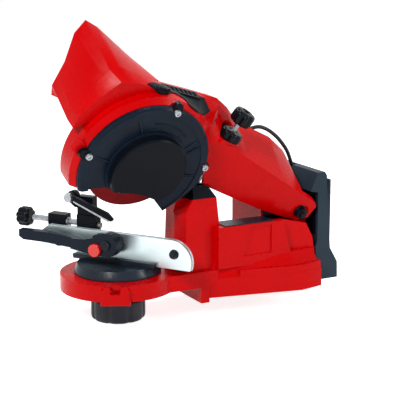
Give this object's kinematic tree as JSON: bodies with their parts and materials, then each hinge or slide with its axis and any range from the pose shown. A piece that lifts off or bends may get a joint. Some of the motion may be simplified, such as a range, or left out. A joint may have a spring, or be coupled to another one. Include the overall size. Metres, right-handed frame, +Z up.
{
  "type": "cordless chainsaw sharpener",
  "caption": "Bench-edge chainsaw chain sharpener with a swivelling chain vice, a hinged grinding head under a guard, a depth stop and a sliding battery holder.",
  "frame": {"origin": "middle of the four bench bolts, on the bench plane", "axes": "+Z up from the bench, +X to the battery holder, -X to the vice that overhangs the bench edge, -Y to the side of the wheel guard"},
  "size_m": [0.31, 0.1905, 0.2986],
  "materials": {
    "red_housing": "saturated red moulded plastic, semi-gloss",
    "black_plastic": "black moulded plastic, satin",
    "guard_black": "blue-black moulded plastic",
    "holder_slate": "dark slate moulded plastic",
    "knob_black": "black moulded knob",
    "knob_grey": "dark grey moulded knob",
    "button_red": "bright red button",
    "plate_steel": "pale bright steel sheet",
    "bright_steel": "bright plated steel",
    "dark_steel": "black oxide steel",
    "wheel_grit": "dark red resin-bonded grinding grit",
    "brass": "plain brass",
    "board_green": "green circuit board",
    "magnet_grey": "sintered magnet",
    "aluminium": "turned aluminium",
    "lead_black": "black cable sheath"
  },
  "bodies": {
    "base": {"base_body": "red_housing", "deck_strip": "black_plastic", "stop_post_cap": "black_plastic", "hinge_bracket": "black_plastic", "hinge_pin": "bright_steel", "hinge_cap": "black_plastic", "return_spring": "dark_steel", "battery_holder": "holder_slate", "holder_front": "black_plastic", "holder_screws": "dark_steel", "terminal_block": "black_plastic", "terminal_blades": "brass", "control_board": "board_green", "clamp_washer": "dark_steel", "motor_lead": "lead_black"},
    "vice": {"swivel_table": "black_plastic", "clamp_stud": "dark_steel", "guide_plate_near": "plate_steel", "guide_plate_far": "plate_steel", "plate_bolts": "dark_steel", "lever_pin": "bright_steel", "screw_block": "black_plastic"},
    "clamp_knob": {"clamp_knob": "knob_grey"},
    "clamp_lever": {"clamp_lever": "black_plastic", "button_spring": "dark_steel"},
    "release_button": {"release_button": "button_red"},
    "stop_slide": {"stop_slide": "black_plastic", "pawl_screw": "bright_steel", "pawl_spring": "dark_steel"},
    "adjusting_screw": {"adjusting_screw": "bright_steel", "adjusting_knob": "knob_black"},
    "pawl": {"pawl_arm": "black_plastic", "pawl_strip": "bright_steel"},
    "head": {"arm_shell_near": "red_housing", "arm_shell_far": "red_housing", "guard_cover": "guard_black", "guard_screws": "bright_steel", "top_vent": "black_plastic", "shell_screws": "bright_steel", "switch_frame": "black_plastic", "motor_can": "dark_steel", "motor_magnets": "magnet_grey", "motor_end_cap": "black_plastic", "motor_bearings": "bright_steel", "rear_vent": "black_plastic", "hinge_bushes": "black_plastic"},
    "rotor": {"grinding_wheel": "wheel_grit", "wheel_flange_inner": "aluminium", "wheel_flange_outer": "aluminium", "arbor_nut": "bright_steel", "motor_shaft": "bright_steel", "motor_rotor": "dark_steel"},
    "depth_screw": {"depth_screw": "bright_steel"},
    "depth_knob": {"depth_knob": "knob_black"},
    "lock_knob": {"lock_knob": "knob_black"},
    "rocker": {"power_rocker": "black_plastic"}
  },
  "joints": [
    {"name": "vice_swivel", "type": "hinge", "parent": "base", "child": "vice", "pos_m": [-0.145, 0, 0.028], "axis": [0, 0, 1], "range_deg": [-70, 0]},
    {"name": "clamp_knob_turn", "type": "hinge", "parent": "vice", "child": "clamp_knob", "pos_m": [-0.145, 0, 0], "axis": [0, 0, -1], "range_deg": [0, 720]},
    {"name": "lever_swing", "type": "hinge", "parent": "vice", "child": "clamp_lever", "pos_m": [-0.15864, -0.01016, 0.0585], "axis": [0.8192, 0.5736, 0], "range_deg": [0, 60]},
    {"name": "button_press", "type": "slide", "parent": "clamp_lever", "child": "release_button", "axis": [0.8192, 0.5736, 0], "range_m": [0, 0.0025], "stiffness_N_per_m": 400},
    {"name": "adjuster_turn", "type": "hinge", "parent": "vice", "child": "adjusting_screw", "pos_m": [-0.19498, 0.08708, 0.0694], "axis": [0.5736, -0.8192, 0], "range_deg": [-1801, 1801]},
    {"name": "stop_travel", "type": "slide", "parent": "vice", "child": "stop_slide", "axis": [0.5736, -0.8192, 0], "range_m": [-0.005, 0.005]},
    {"name": "pawl_lift", "type": "hinge", "parent": "stop_slide", "child": "pawl", "pos_m": [-0.17563, 0.04374, 0.0971], "axis": [-0.8192, -0.5736, 0], "range_deg": [-4, 60]},
    {"name": "arm_hinge", "type": "hinge", "parent": "base", "child": "head", "pos_m": [0.044, -0.00697, 0.08795], "axis": [0, 0.9063, 0.4226], "range_deg": [-8, 27], "deforming": ["motor_lead"]},
    {"name": "wheel_spin", "type": "hinge", "parent": "head", "child": "rotor", "pos_m": [-0.1384, -0.03436, 0.14668], "axis": [0, -0.9063, -0.4226], "continuous": true},
    {"name": "depth_travel", "type": "slide", "parent": "head", "child": "depth_screw", "axis": [0.426, -0.3823, 0.8199], "range_m": [0, 0.01]},
    {"name": "depth_knob_turn", "type": "hinge", "parent": "depth_screw", "child": "depth_knob", "pos_m": [-0.0348, -0.05468, 0.18079], "axis": [0.426, -0.3823, 0.8199], "range_deg": [-1, 2401]},
    {"name": "lock_knob_turn", "type": "hinge", "parent": "head", "child": "lock_knob", "pos_m": [-0.0439, -0.04652, 0.1633], "axis": [0.426, -0.3823, 0.8199], "range_deg": [0, 360]},
    {"name": "switch_rock", "type": "hinge", "parent": "head", "child": "rocker", "pos_m": [-0.1774, -0.02436, 0.25065], "axis": [-1, 0, 0], "range_deg": [0, 14]}
  ],
  "couplings": [
    {"joint": "adjuster_turn", "follows": "stop_travel", "rad_per_m": 6283.2},
    {"joint": "depth_knob_turn", "follows": "depth_travel", "rad_per_m": 4188.8}
  ]
}
